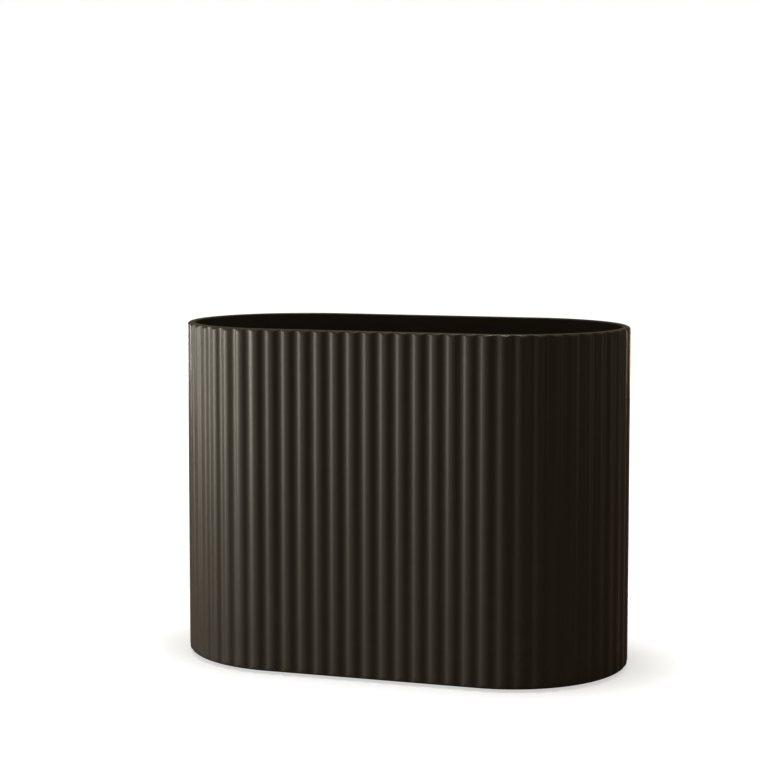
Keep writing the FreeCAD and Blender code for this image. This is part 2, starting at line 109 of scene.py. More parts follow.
def thickness_steps(start: float, end: float, radius: float) -> list[tuple[float, float, float]]:
    """Steps from one face of a plate to the other, with the edge rounded at both.

    Args:
        start: place of the first face
        end: place of the other face
        radius: radius of both roundings

    Returns:
        How far the plate stands back, the place and the rounding's angle at each step.
    """
    inward = math.copysign(radius, end - start)
    faces = (
        (start, inward, spread(0.0, QUARTER, EDGE_STEPS)),
        (end, -inward, spread(QUARTER, 0.0, EDGE_STEPS)),
    )
    return [
        (radius * (1 - math.sin(angle)), face + depth * (1 - math.cos(angle)), angle)
        for face, depth, angles in faces
        for angle in angles
    ]


@dataclass(frozen=True)
class Column:
    """One upright line of a wall with a stadium plan."""

    anchor: float
    facing: Flat
    inset: float = 0.0

    def at(self, reach: float, height: float) -> Vector:
        """Point of the line at a reach from the plan's middle line and at a height."""
        return Vector((self.anchor + reach * self.facing[0], reach * self.facing[1], height))


@dataclass(frozen=True)
class Level:
    """One ring of a wall: its reach, its height and how exposed it is to handling."""

    reach: float
    height: float
    exposure: float = 0.0


def arc_levels(
    centre: Flat, radius: float, start: float, end: float, steps: int, exposure: float = 1.0
) -> list[Level]:
    """Levels along a rounded edge of a wall's profile.

    Args:
        centre: reach and height of the rounding's centre
        radius: radius of the rounding
        start: first angle, from straight outwards and turning upwards
        end: last angle
        steps: number of parts
        exposure: exposure in the middle of the rounding

    Returns:
        The levels in order.
    """
    levels = []
    for number, angle in enumerate(spread(start, end, steps)):
        share = math.sin(math.pi * number / steps)
        reach = centre[0] + radius * math.cos(angle)
        height = centre[1] + radius * math.sin(angle)
        levels.append(Level(reach, height, exposure * share))
    return levels


@dataclass(frozen=True)
class Outline:
    """Rectangle with rounded corners in a flat domain; a circle and a stadium are special cases."""

    middle: Flat
    half: Flat
    low_corner: float
    high_corner: float
    steps: int = 6

    def loop(self, grow: float = 0.0) -> list[Flat]:
        """Points of the outline, counter-clockwise.

        Args:
            grow: distance to move the outline outwards

        Returns:
            The points in order.
        """
        points = []
        corners = [(1, -1, -QUARTER), (1, 1, 0.0), (-1, 1, QUARTER), (-1, -1, 2 * QUARTER)]
        for across, up, start in corners:
            radius = self.low_corner if up < 0 else self.high_corner
            x = self.middle[0] + across * (self.half[0] - radius)
            y = self.middle[1] + up * (self.half[1] - radius)
            for angle in spread(start, start + QUARTER, self.steps):
                reach = radius + grow
                point = (x + reach * math.cos(angle), y + reach * math.sin(angle))
                if not points or math.dist(points[-1], point) > SAME_POINT:
                    points.append(point)
        if math.dist(points[0], points[-1]) < SAME_POINT:
            points.pop()
        return points


def circle(middle: Flat, radius: float, steps: int) -> Outline:
    """Circle as an outline, with so many parts in each quarter."""
    return Outline(middle, (radius, radius), radius, radius, steps)


def slot_outline(middle: Flat, width: float, height: float, steps: int = 8) -> Outline:
    """Slot with half-round ends as an outline, by its full width and height."""
    return Outline(middle, (width / 2, height / 2), height / 2, height / 2, steps)


class MeshMaker:
    """Collects the points and faces of one piece and turns them into an object."""

    crease_angle: float = math.radians(38)
    fill_tolerance: float = 1e-9

    def __init__(self, name: str) -> None:
        """Start an empty piece.

        Args:
            name: name of the object to make
        """
        self.name = name
        self.mesh = bmesh.new()
        self.exposure = self.mesh.verts.layers.float.new(EDGE_ATTRIBUTE)

    def ring(self, points: Iterable[Vector], exposure: float = 0.0) -> list[BMVert]:
        """Add a closed row of points.

        Args:
            points: places of the points in order
            exposure: how exposed they are to handling, from 0 to 1

        Returns:
            The new points.
        """
        row = [self.mesh.verts.new(point) for point in points]
        for vert in row:
            vert[self.exposure] = exposure
        return row

    def wall_ring(self, columns: list[Column], level: Level) -> list[BMVert]:
        """Add the ring of a wall without flutes or guides at one of its levels."""
        points = (column.at(level.reach, level.height) for column in columns)
        return self.ring(points, level.exposure)

    def flat_ring(
        self, outline: Outline, grow: float, height: float, exposure: float = 0.0
    ) -> list[BMVert]:
        """Add a level ring along an outline in plan, moved outwards by a distance."""
        return self.ring((Vector((x, y, height)) for x, y in outline.loop(grow)), exposure)

    def bridge(
        self, first: list[BMVert], second: list[BMVert], skip: Set[int] = frozenset()
    ) -> None:
        """Join two rings of equal length with a band of faces.

        Args:
            first: one ring
            second: the other ring
            skip: numbers of the faces to leave out
        """
        count = len(first)
        for number in range(count):
            if number not in skip:
                after = (number + 1) % count
                self.mesh.faces.new((first[number], first[after], second[after], second[number]))

    def bands(self, rings: list[list[BMVert]]) -> None:
        """Join each ring to the next one."""
        for first, second in zip(rings, rings[1:]):
            self.bridge(first, second)

    def cap(self, ring: list[BMVert]) -> None:
        """Close a flat ring with one face."""
        self.mesh.faces.new(ring)

    def fill(
        self, outline: list[BMVert], holes: list[list[BMVert]], flatten: Callable[[Vector], Flat]
    ) -> None:
        """Fill the space between an outline and the holes in it.

        Args:
            outline: points of the outer edge in order
            holes: points of each inner edge in order; each hole is convex
            flatten: where a point lies in a flat domain
        """
        loops = [outline, *holes]
        verts = [vert for loop in loops for vert in loop]
        owner = [number for number, loop in enumerate(loops) for _ in loop]
        edges = []
        start = 0
        for loop in loops:
            indices = list(range(start, start + len(loop)))
            edges += list(zip(indices, indices[1:] + indices[:1]))
            start += len(loop)
        flat = [Vector(flatten(vert.co)) for vert in verts]
        _, _, triangles, sources, _, _ = delaunay_2d_cdt(flat, edges, [], 1, self.fill_tolerance)
        for triangle in triangles:
            corners = [sources[index][0] for index in triangle]
            owners = {owner[corner] for corner in corners}
            if len(owners) == 1 and 0 not in owners:
                continue
            self.mesh.faces.new([verts[corner] for corner in corners])

    def finish(self) -> bpy.types.Object:
        """Turn what was collected into an object in the scene.

        Returns:
            The new object.
        """
        bmesh.ops.recalc_face_normals(self.mesh, faces=self.mesh.faces)
        data = bpy.data.meshes.new(self.name)
        self.mesh.to_mesh(data)
        self.mesh.free()
        data.shade_smooth()
        data.set_sharp_from_angle(angle=self.crease_angle)
        piece = bpy.data.objects.new(self.name, data)
        bpy.context.scene.collection.objects.link(piece)
        normals = piece.modifiers.new("even_normals", "WEIGHTED_NORMAL")
        normals.keep_sharp = True
        return piece


class NodeBench:
    """Short ways to place and join the nodes of one material or group."""

    def __init__(self, tree: bpy.types.NodeTree) -> None:
        """Work on the node tree of a material, world or group."""
        self.tree = tree

    def add(self, kind: str, **settings: object) -> bpy.types.Node:
        """Place a node.

        Args:
            kind: type name of the node
            settings: properties of the node to set

        Returns:
            The new node.
        """
        node = self.tree.nodes.new(kind)
        for name, value in settings.items():
            setattr(node, name, value)
        return node

    def join(self, source: bpy.types.NodeSocket, target: bpy.types.NodeSocket) -> None:
        """Link an output to an input."""
        self.tree.links.new(source, target)

    def put(self, value: object, target: bpy.types.NodeSocket) -> None:
        """Link an output to an input, or set the input to a plain value."""
        if isinstance(value, bpy.types.NodeSocket):
            self.join(value, target)
        else:
            target.default_value = value

    def math(
        self, operation: str, first: object, second: object, clamp: bool = False
    ) -> bpy.types.NodeSocket:
        """Work out a value from two others.

        Args:
            operation: name of the operation
            first: first value or output
            second: second value or output
            clamp: whether to keep the result from 0 to 1

        Returns:
            The result's output.
        """
        node = self.add("ShaderNodeMath", operation=operation, use_clamp=clamp)
        self.put(first, node.inputs[0])
        self.put(second, node.inputs[1])
        return node.outputs[0]

    def times(self, first: object, second: object, clamp: bool = False) -> bpy.types.NodeSocket:
        """Multiply two values or outputs."""
        return self.math("MULTIPLY", first, second, clamp)

    def centred(self, value: bpy.types.NodeSocket) -> bpy.types.NodeSocket:
        """Shift a value that runs from 0 to 1 so that it lies round 0."""
        return self.math("SUBTRACT", value, 0.5)

    def position(self) -> bpy.types.NodeSocket:
        """Coordinates in the object's own axes."""
        return self.add("ShaderNodeTexCoord").outputs["Object"]

    def blend(self, factor: object, first: object, second: object) -> bpy.types.NodeSocket:
        """Mix two colours.

        Args:
            factor: share of the second colour
            first: first colour or output
            second: second colour or output

        Returns:
            The mixed colour's output.
        """
        node = self.add("ShaderNodeMix", data_type="RGBA")
        self.put(factor, node.inputs["Factor"])
        colours = [socket for socket in node.inputs if socket.type == "RGBA"]
        self.put(first, colours[0])
        self.put(second, colours[1])
        return next(socket for socket in node.outputs if socket.type == "RGBA")

    def noise(
        self, place: bpy.types.NodeSocket, scale: object, detail: float
    ) -> bpy.types.NodeSocket:
        """Cloudy value from 0 to 1.

        Args:
            place: coordinates to read it at
            scale: lumps in each metre, as a value or output
            detail: number of finer layers

        Returns:
            The value's output.
        """
        node = self.add("ShaderNodeTexNoise")
        self.join(place, node.inputs["Vector"])
        self.put(scale, node.inputs["Scale"])
        node.inputs["Detail"].default_value = detail
        return node.outputs["Fac"]

    def band(self, value: bpy.types.NodeSocket, low: float, high: float) -> bpy.types.NodeSocket:
        """Stretch a range of a value to 0 to 1, with soft ends.

        Args:
            value: output to read
            low: value that becomes 0
            high: value that becomes 1

        Returns:
            The stretched value's output.
        """
        node = self.add("ShaderNodeMapRange", interpolation_type="SMOOTHSTEP")
        self.join(value, node.inputs["Value"])
        node.inputs["From Min"].default_value = low
        node.inputs["From Max"].default_value = high
        return node.outputs["Result"]


class EffectGroup:
    """A surface effect that several finishes share, as one node group."""

    name: str = ""
    inputs: dict[str, str] = {}
    outputs: dict[str, str] = {}

    def __init__(self) -> None:
        """Make the group with its sockets and nodes."""
        self.tree = bpy.data.node_groups.new(self.name, "ShaderNodeTree")
        for label, kind in self.inputs.items():
            self.tree.interface.new_socket(name=label, in_out="INPUT", socket_type=kind)
        for label, kind in self.outputs.items():
            self.tree.interface.new_socket(name=label, in_out="OUTPUT", socket_type=kind)
        bench = NodeBench(self.tree)
        self.wire(bench, bench.add("NodeGroupInput"), bench.add("NodeGroupOutput"))

    def wire(self, bench: NodeBench, given: bpy.types.Node, result: bpy.types.Node) -> None:
        """Place the effect's own nodes.

        Args:
            bench: bench over the group's tree
            given: node with the group's inputs
            result: node with the group's outputs
        """
        raise NotImplementedError

    def place(self, bench: NodeBench, **values: object) -> bpy.types.Node:
        """Put the effect into a material.

        Args:
            bench: bench over the material's tree
            values: plain values or outputs for the inputs, with underscores for spaces

        Returns:
            The group's node.
        """
        node = bench.add("ShaderNodeGroup", node_tree=self.tree)
        for label, value in values.items():
            bench.put(value, node.inputs[label.replace("_", " ")])
        return node


FLOAT = "NodeSocketFloat"
COLOUR = "NodeSocketColor"


class MouldedGrain(EffectGroup):
    """Fine even grain of a spark-eroded mould, with a slow drift in how fine it came out."""

    name = "moulded_grain"
    inputs = {"Grains Per Metre": FLOAT, "Base Roughness": FLOAT, "Drift": FLOAT}
    outputs = {"Height": FLOAT, "Roughness": FLOAT}
    grain_detail: float = 1.0
    fine_scale: float = 2.7
    coarse_share: float = 0.65
    fine_share: float = 0.35
    clouds_per_metre: float = 24.0
    cloud_detail: float = 3.0
    sparkle: float = 0.12

    def wire(self, bench: NodeBench, given: bpy.types.Node, result: bpy.types.Node) -> None:
        """Two sizes of grain make the height, and slow clouds move the roughness."""
        place = bench.position()
        scale = given.outputs["Grains Per Metre"]
        coarse = bench.noise(place, scale, self.grain_detail)
        fine = bench.noise(place, bench.times(scale, self.fine_scale), self.grain_detail)
        coarse_part = bench.times(coarse, self.coarse_share)
        height = bench.math("ADD", coarse_part, bench.times(fine, self.fine_share))
        bench.join(height, result.inputs["Height"])
        clouds = bench.centred(bench.noise(place, self.clouds_per_metre, self.cloud_detail))
        drift = bench.times(clouds, given.outputs["Drift"])
        sparkle = bench.times(bench.centred(coarse), self.sparkle)
        change = bench.math("ADD", drift, sparkle)
        rough = bench.math("ADD", given.outputs["Base Roughness"], change)
        bench.join(rough, result.inputs["Roughness"])


class EdgeWear(EffectGroup):
    """Edges that hands rub: a little paler and smoother, in broken patches."""

    name = "edge_wear"
    inputs = {
        "Colour": COLOUR,
        "Worn Colour": COLOUR,
        "Roughness": FLOAT,
        "Exposure": FLOAT,
        "Amount": FLOAT,
    }
    outputs = {"Colour": COLOUR, "Roughness": FLOAT}
    patches_per_metre: float = 95.0
    patch_detail: float = 4.0
    patch_range: Flat = (0.32, 0.68)
    smoothing: float = 0.22

    def wire(self, bench: NodeBench, given: bpy.types.Node, result: bpy.types.Node) -> None:
        """Exposure from the mesh is broken up by noise and moves colour and roughness."""
        noise = bench.noise(bench.position(), self.patches_per_metre, self.patch_detail)
        patches = bench.band(noise, *self.patch_range)
        worn = bench.times(given.outputs["Exposure"], patches, clamp=True)
        worn = bench.times(worn, given.outputs["Amount"])
        colour = bench.blend(worn, given.outputs["Colour"], given.outputs["Worn Colour"])
        bench.join(colour, result.inputs["Colour"])
        smoother = bench.times(worn, self.smoothing)
        rough = bench.math("SUBTRACT", given.outputs["Roughness"], smoother, clamp=True)
        bench.join(rough, result.inputs["Roughness"])


class SettledDust(EffectGroup):
    """Thin dust on faces that look up, and a faint uneven tone over the whole surface."""

    name = "settled_dust"
    inputs = {
        "Colour": COLOUR,
        "Dust Colour": COLOUR,
        "Roughness": FLOAT,
        "Amount": FLOAT,
        "Tone": FLOAT,
    }
    outputs = {"Colour": COLOUR, "Roughness": FLOAT}
    upward_range: Flat = (0.35, 1.0)
    specks_per_metre: float = 420.0
    speck_detail: float = 5.0
    speck_range: Flat = (0.42, 0.75)
    clouds_per_metre: float = 32.0
    cloud_detail: float = 4.0
    roughening: float = 0.3

    def wire(self, bench: NodeBench, given: bpy.types.Node, result: bpy.types.Node) -> None:
        """The face's upward tilt and two noises give the dust and the tone."""
        place = bench.position()
        split = bench.add("ShaderNodeSeparateXYZ")
        bench.join(bench.add("ShaderNodeNewGeometry").outputs["Normal"], split.inputs[0])
        upward = bench.band(split.outputs["Z"], *self.upward_range)
        noise = bench.noise(place, self.specks_per_metre, self.speck_detail)
        specks = bench.times(upward, bench.band(noise, *self.speck_range))
        dust = bench.times(specks, given.outputs["Amount"], clamp=True)
        clouds = bench.centred(bench.noise(place, self.clouds_per_metre, self.cloud_detail))
        tone = bench.math("ADD", 1.0, bench.times(clouds, given.outputs["Tone"]))
        toned = bench.add("ShaderNodeVectorMath", operation="SCALE")
        bench.join(given.outputs["Colour"], toned.inputs[0])
        bench.join(tone, toned.inputs["Scale"])
        colour = bench.blend(dust, toned.outputs[0], given.outputs["Dust Colour"])
        bench.join(colour, result.inputs["Colour"])
        rougher = bench.times(dust, self.roughening)
        rough = bench.math("ADD", given.outputs["Roughness"], rougher, clamp=True)
        bench.join(rough, result.inputs["Roughness"])


@dataclass(frozen=True)
class SurfaceEffects:
    """The shared effect groups, made once."""

    grain: MouldedGrain
    wear: EdgeWear
    dust: SettledDust


@dataclass(frozen=True)
class MouldedFinish:
    """Moulded plastic or rubber: grain, rubbed edges and settled dust over one base colour."""

    name: str
    colour: Colour
    worn_colour: Colour
    dust_colour: Colour
    roughness: float
    specular: float
    grains_per_metre: float
    grain_depth: float
    wear_amount: float
    dust_amount: float
    roughness_drift: float = 0.08
    tone_change: float = 0.16

    def material(self, effects: SurfaceEffects) -> bpy.types.Material:
        """Make the material.

        Args:
            effects: the shared effect groups

        Returns:
            The new material.
        """
        material = bpy.data.materials.new(self.name)
        material.use_nodes = True
        bench = NodeBench(material.node_tree)
        shader = material.node_tree.nodes["Principled BSDF"]
        shader.inputs["Specular IOR Level"].default_value = self.specular
        grain = effects.grain.place(
            bench,
            Grains_Per_Metre=self.grains_per_metre,
            Base_Roughness=self.roughness,
            Drift=self.roughness_drift,
        )
        exposure = bench.add("ShaderNodeAttribute", attribute_name=EDGE_ATTRIBUTE)
        wear = effects.wear.place(
            bench,
            Colour=(*self.colour, 1.0),
            Worn_Colour=(*self.worn_colour, 1.0),
            Roughness=grain.outputs["Roughness"],
            Exposure=exposure.outputs["Fac"],
            Amount=self.wear_amount,
        )
        dust = effects.dust.place(
            bench,
            Colour=wear.outputs["Colour"],
            Dust_Colour=(*self.dust_colour, 1.0),
            Roughness=wear.outputs["Roughness"],
            Amount=self.dust_amount,
            Tone=self.tone_change,
        )
        bench.join(dust.outputs["Colour"], shader.inputs["Base Color"])
        bench.join(dust.outputs["Roughness"], shader.inputs["Roughness"])
        bump = bench.add("ShaderNodeBump")
        bump.inputs["Strength"].default_value = 1.0
        bump.inputs["Distance"].default_value = self.grain_depth
        bench.join(grain.outputs["Height"], bump.inputs["Height"])
        bench.join(bump.outputs["Normal"], shader.inputs["Normal"])
        return material


SHELL_FINISH = MouldedFinish(
    name="shell_charcoal",
    colour=(0.042, 0.039, 0.033),
    worn_colour=(0.060, 0.056, 0.049),
    dust_colour=(0.12, 0.112, 0.10),
    roughness=0.36,
    specular=0.17,
    grains_per_metre=2600.0,
    grain_depth=0.010 * MM,
    wear_amount=0.5,
    dust_amount=0.10,
)
TRAY_FINISH = MouldedFinish(
    name="tray_charcoal",
    colour=(0.040, 0.038, 0.034),
    worn_colour=(0.070, 0.066, 0.060),
    dust_colour=(0.15, 0.14, 0.13),
    roughness=0.42,
    specular=0.35,
    grains_per_metre=2000.0,
    grain_depth=0.04 * MM,
    wear_amount=0.5,
    dust_amount=0.14,
)
INSERT_FINISH = MouldedFinish(
    name="insert_charcoal",
    colour=(0.050, 0.048, 0.045),
    worn_colour=(0.080, 0.077, 0.072),
    dust_colour=(0.15, 0.14, 0.13),
    roughness=0.45,
    specular=0.35,
    grains_per_metre=2200.0,
    grain_depth=0.04 * MM,
    wear_amount=0.55,
    dust_amount=0.10,
)
PAD_FINISH = MouldedFinish(
    name="pad_rubber_grey",
    colour=(0.060, 0.060, 0.058),
    worn_colour=(0.10, 0.10, 0.096),
    dust_colour=(0.20, 0.19, 0.17),
    roughness=0.80,
    specular=0.25,
    grains_per_metre=1500.0,
    grain_depth=0.06 * MM,
    wear_amount=0.6,
    dust_amount=0.05,
)


@dataclass(frozen=True)
class StadiumPlan:
    """Plan shared by all the pieces: two straight sides joined by half-round ends."""

    half_straight: float = 57.0 * MM

    def columns(
        self, side_places: list[tuple[float, float]], end_angles: list[tuple[float, float]]
    ) -> list[Column]:
        """Lines of a wall, counter-clockwise from the front side's left end.

        Args:
            side_places: distance along a side from its start, and inset, for each line on it
            end_angles: angle from the start of an end, and inset, for each line on it

        Returns:
            The lines in order.
        """
        half = self.half_straight
        front = [Column(along - half, (0.0, -1.0), inset) for along, inset in side_places]
        rear = [Column(half - along, (0.0, 1.0), inset) for along, inset in side_places]
        right = [
            Column(half, (math.sin(angle), -math.cos(angle)), inset) for angle, inset in end_angles
        ]
        left = [
            Column(-half, (-math.sin(angle), math.cos(angle)), inset) for angle, inset in end_angles
        ]
        return front + right + rear + left

    def plain_columns(self, side_steps: int = 24, end_steps: int = 64) -> list[Column]:
        """Lines of a plain wall.

        Args:
            side_steps: parts in each side
            end_steps: parts in each end

        Returns:
            The lines in order.
        """
        sides = [(along, 0.0) for along in spread(0.0, 2 * self.half_straight, side_steps)[:-1]]
        ends = [(angle, 0.0) for angle in spread(0.0, math.pi, end_steps)[:-1]]
        return self.columns(sides, ends)


PLAN = StadiumPlan()


def dress(
    piece: bpy.types.Object, material: bpy.types.Material, body: Body, node: str
) -> bpy.types.Object:
    """Give a piece its material and its place in the frame.

    Args:
        piece: the piece
        material: material of the whole piece
        body: body that it rides on
        node: node of the frame that it takes the place of

    Returns:
        The same piece.
    """
    piece.data.materials.append(material)
    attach(piece, body.value)
    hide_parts(node)
    return piece


def flat_plan(point: Vector) -> Flat:
    """Where a point lies in plan."""
    return point.x, point.y


def flat_end(point: Vector) -> Flat:
    """Where a point lies as seen along the length."""
    return point.y, point.z


@dataclass
class FlutedShell:
    """Outer shell: fluted outside, smooth well inside and a seat ring for the basket."""

    crest_reach: float = 63.5 * MM
    inner_reach: float = 59.3 * MM
    bottom: float = 1.2 * MM
    top: float = 180.0 * MM
    side_flutes: int = 13
    end_flutes: int = 22
    flute_depth: float = 1.0 * MM
    crest_radius: float = 5.8 * MM
    steps_per_flute: int = 16
    crest_margin: float = 0.2 * MM
    rim_round: float = 2.2 * MM
    base_round: float = 3.0 * MM
    lip_round: float = 0.4 * MM
    rim_inner_round: float = 0.8 * MM
    base_inner_round: float = 0.5 * MM
    base_exposure: float = 0.6
    seat_reach: float = 56.8 * MM
    seat_low: float = 15.2 * MM
    seat_high: float = 17.8 * MM
    seat_round: float = 0.4 * MM
    run_out: float = 0.4 * MM
    round_steps: int = 10
    finish: MouldedFinish = SHELL_FINISH

    def side_insets(self) -> list[tuple[float, float]]:
        """Lines of one side with the depth of the flutes at each.

        Returns:
            Distance along the side and inset of each line.
        """
        pitch = 2 * PLAN.half_straight / self.side_flutes
        half = pitch / 2
        both_radii = (half**2 + self.flute_depth**2) / (2 * self.flute_depth)
        valley_radius = both_radii - self.crest_radius
        crest_half = self.crest_radius * half / both_radii
        lines = []
        for number in range(self.side_flutes * self.steps_per_flute):
            along = pitch * number / self.steps_per_flute
            off_crest = abs(along % pitch - half)
            if off_crest < crest_half:
                inset = self.crest_radius - math.sqrt(self.crest_radius**2 - off_crest**2)
            else:
                rise = valley_radius - math.sqrt(valley_radius**2 - (half - off_crest) ** 2)
                inset = self.flute_depth - rise
            lines.append((along, inset))
        return lines

    def end_insets(self) -> list[tuple[float, float]]:
        """Lines of one end with the depth of the flutes at each.

        Returns:
            Angle round the end and inset of each line.
        """
        step = math.pi / self.end_flutes
        crest, outer = self.crest_radius, self.crest_reach
        inner = outer - self.flute_depth
        crest_centre = outer - crest
        lean = crest_centre * math.cos(step / 2)
        squares = crest**2 - crest_centre**2 - inner**2
        valley = (squares + 2 * inner * lean) / (2 * (inner - lean - crest))
        valley_centre = inner + valley
        offset = (
            valley_centre * math.cos(step / 2) - crest_centre,
            valley_centre * math.sin(step / 2),
        )
        slope = math.atan2(offset[1], offset[0])
        crest_half = math.atan2(crest * math.sin(slope), crest_centre + crest * math.cos(slope))
        lines = []
        for number in range(self.end_flutes * self.steps_per_flute):
            angle = step * number / self.steps_per_flute
            off_crest = abs(angle % step - step / 2)
            if off_crest < crest_half:
                across = crest_centre * math.sin(off_crest)
                reach = crest_centre * math.cos(off_crest) + math.sqrt(crest**2 - across**2)
            else:
                off_valley = step / 2 - off_crest
                across = valley_centre * math.sin(off_valley)
                reach = valley_centre * math.cos(off_valley) - math.sqrt(valley**2 - across**2)
            lines.append((angle, outer - reach))
        return lines

    def edge_inset(self, flute_inset: float, below_edge: float, radius: float) -> float:
        """Inset of the outside near the rim or the base.

        Args:
            flute_inset: inset of the flute itself on this line
            below_edge: distance from the rim's or the base's flat
            radius: radius of the rounding there

        Returns:
            The inset after the rounding.
        """
        gone = max(1 - below_edge / radius, 0.0)
        rounded = radius * (1 - math.sqrt(1 - gone * gone)) - self.crest_margin
        lip_gone = max(1 - below_edge / self.lip_round, 0.0)
        lip = self.lip_round * (1 - math.sqrt(1 - lip_gone * lip_gone))
        return smooth_max(flute_inset + lip, rounded, self.run_out)

    def outer_levels(self) -> list[tuple[float, float, float, float]]:
        """Heights of the outside's rings, from the base's flat to the rim's.

        Returns:
            Height, distance from the nearer flat, rounding there and exposure of each ring.
        """
        levels = []
        for angle in spread(QUARTER, 0.0, self.round_steps):
            below = self.base_round * (1 - math.sin(angle))
            exposure = self.base_exposure * math.cos(angle)
            levels.append((self.bottom + below, below, self.base_round, exposure))
        for angle in spread(0.0, QUARTER, self.round_steps):
            below = self.rim_round * (1 - math.sin(angle))
            levels.append((self.top - below, below, self.rim_round, math.sin(angle)))
        return levels

    def inner_levels(self) -> list[Level]:
        """Rings of the rim's flat, the well, the seat, the recess and the base's flat.

        Returns:
            The levels in order, from the rim inwards and down.
        """
        reach, rim, low = self.inner_reach, self.rim_inner_round, self.base_inner_round
        small = self.seat_round
        seat = self.seat_reach + small
        levels = arc_levels((reach + rim, self.top - rim), rim, QUARTER, 2 * QUARTER, 5)
        levels.append(Level(reach, self.seat_high))
        levels += arc_levels((seat, self.seat_high - small), small, QUARTER, 2 * QUARTER, 3)
        levels += arc_levels((seat, self.seat_low + small), small, 2 * QUARTER, 3 * QUARTER, 3)
        levels.append(Level(reach, self.seat_low))
        levels += arc_levels((reach + low, self.bottom + low), low, 2 * QUARTER, 3 * QUARTER, 4)
        return levels

    def build(self) -> bpy.types.Object:
        """Make the shell's mesh.

        Returns:
            The new object.
        """
        maker = MeshMaker("fluted_shell")
        columns = PLAN.columns(self.side_insets(), self.end_insets())
        rings = []
        for height, below, radius, exposure in self.outer_levels():
            points = [
                column.at(self.crest_reach - self.edge_inset(column.inset, below, radius), height)
                for column in columns
            ]
            rings.append(maker.ring(points, exposure))
        rings += [maker.wall_ring(columns, level) for level in self.inner_levels()]
        maker.bands(rings + rings[:1])
        return maker.finish()

    def dress(self, effects: SurfaceEffects) -> list[bpy.types.Object]:
        """Build the shell, finish it and put it in the frame."""
        material = self.finish.material(effects)
        return [dress(self.build(), material, Body.SHELL, "outer_shell")]


@dataclass
class DripTray:
    """Shallow pan that closes the shell's underside, with cross ribs and recesses for the pads."""

    outer_reach: float = 58.9 * MM
    inner_reach: float = 57.1 * MM
    bottom: float = 1.2 * MM
    top: float = 15.2 * MM
    floor: float = 2.4 * MM
    base_round: float = 1.0 * MM
    inner_round: float = 2.0 * MM
    rim_round: float = 0.6 * MM
    rim_outer_round: float = 0.3 * MM
    rib_spacing: float = 28.0 * MM
    rib_steps: int = 2
    rib_half_width: float = 0.8 * MM
    rib_half_length: float = 54.6 * MM
    rib_height: float = 1.4 * MM
    rib_round: float = 0.5 * MM
    rib_corner: float = 0.75 * MM
    rib_corner_steps: int = 4
    rib_flare: float = 0.3 * MM
    rib_flare_middle: float = 0.09 * MM
    rib_side_exposure: float = 0.3
    rib_top_exposure: float = 0.8
    recess_radius: float = 8.1 * MM
    recess_depth: float = 0.8 * MM
    recess_edge: float = 0.15 * MM
    recess_steps: int = 12
    finish: MouldedFinish = TRAY_FINISH

    def levels(self) -> list[Level]:
        """Rings of the pan's wall, from the underside's edge over the rim to the floor's edge.

        Returns:
            The levels in order.
        """
        outer, inner = self.outer_reach, self.inner_reach
        small, rim = self.rim_outer_round, self.rim_round
        base, well = self.base_round, self.inner_round
        floor = self.bottom + self.floor
        levels = arc_levels((outer - base, self.bottom + base), base, -QUARTER, 0.0, 4)
        levels += arc_levels((outer - small, self.top - small), small, 0.0, QUARTER, 3)
        levels += arc_levels((inner + rim, self.top - rim), rim, QUARTER, 2 * QUARTER, 4)
        levels += arc_levels((inner - well, floor + well), well, 0.0, -QUARTER, 5, exposure=0.0)
        return levels

    def rib(self, maker: MeshMaker, along: float) -> list[BMVert]:
        """Raise one cross rib off the floor.

        Args:
            maker: mesh of the tray
            along: the rib's place along X

        Returns:
            The rib's foot on the floor.
        """
        floor = self.bottom + self.floor
        radius, flare, middle = self.rib_round, self.rib_flare, self.rib_flare_middle
        half = (self.rib_half_width, self.rib_half_length)
        corner, corner_steps = self.rib_corner, self.rib_corner_steps
        outline = Outline((along, 0.0), half, corner, corner, corner_steps)
        steps = [(flare, 0.0, 0.0), (middle, middle, 0.0), (0.0, flare, 0.0)]
        steps += [(0.0, self.rib_height - radius, self.rib_side_exposure)]
        for angle in spread(0.0, QUARTER, EDGE_STEPS)[1:]:
            rise = self.rib_height - radius * (1 - math.sin(angle))
            steps.append((radius * (math.cos(angle) - 1), rise, self.rib_top_exposure))
        rings = [
            maker.flat_ring(outline, grow, floor + rise, exposure)
            for grow, rise, exposure in steps
        ]
        maker.bands(rings)
        maker.cap(rings[-1])
        return rings[0]

    def recess(self, maker: MeshMaker, middle: Flat) -> list[BMVert]:
        """Sink the recess for one pad into the underside.

        Args:
            maker: mesh of the tray
            middle: the pad's place in plan

        Returns:
            The recess's edge on the underside.
        """
        outline = circle(middle, self.recess_radius, self.recess_steps)
        edge = self.recess_edge
        steps = ((edge, 0.0), (0.0, edge), (0.0, self.recess_depth))
        rings = [maker.flat_ring(outline, grow, self.bottom + rise) for grow, rise in steps]
        maker.bands(rings)
        maker.cap(rings[-1])
        return rings[0]

    def build(self) -> bpy.types.Object:
        """Make the tray's mesh.

        Returns:
            The new object.
        """
        maker = MeshMaker("drip_pan")
        columns = PLAN.plain_columns()
        rings = [maker.wall_ring(columns, level) for level in self.levels()]
        maker.bands(rings)
        numbers = range(-self.rib_steps, self.rib_steps + 1)
        ribs = [self.rib(maker, number * self.rib_spacing) for number in numbers]
        maker.fill(rings[-1], ribs, flat_plan)
        recesses = [self.recess(maker, middle) for middle in PAD_PLACES.values()]
        maker.fill(rings[0], recesses, flat_plan)
        return maker.finish()

    def dress(self, effects: SurfaceEffects) -> list[bpy.types.Object]:
        """Build the tray, finish it and put it in the frame."""
        material = self.finish.material(effects)
        return [dress(self.build(), material, Body.BASE, "drip_tray")]


